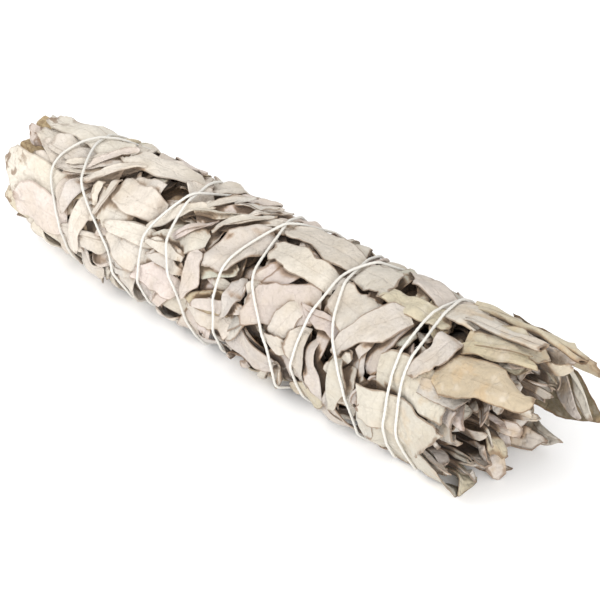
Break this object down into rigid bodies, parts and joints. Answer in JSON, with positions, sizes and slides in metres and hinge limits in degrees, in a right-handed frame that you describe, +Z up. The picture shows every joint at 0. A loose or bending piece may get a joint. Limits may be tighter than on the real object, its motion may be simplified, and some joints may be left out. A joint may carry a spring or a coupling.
{
  "type": "sage smudge stick",
  "caption": "Dried white sage sprigs bound into a thick, slightly flaring bundle with one wound and knotted cotton string, lying on its side.",
  "frame": {"origin": "on the surface under the middle of the bundle's bounding box", "axes": "+X along the bundle towards its leaf tips, +Y across it, +Z up"},
  "size_m": [0.2248, 0.0562, 0.0515],
  "materials": {
    "sage_leaf": "matte felted leaf",
    "sage_heart": "dull dried stem",
    "cotton_string": "matte twisted cotton"
  },
  "bodies": {
    "root": {"sprig_1": "sage_leaf", "sprig_2": "sage_leaf", "sprig_3": "sage_leaf", "sprig_4": "sage_leaf", "sprig_5": "sage_leaf", "sprig_6": "sage_leaf", "sprig_7": "sage_leaf", "sprig_8": "sage_leaf", "sprig_heart": "sage_heart", "string": "cotton_string"}
  },
  "joints": []
}
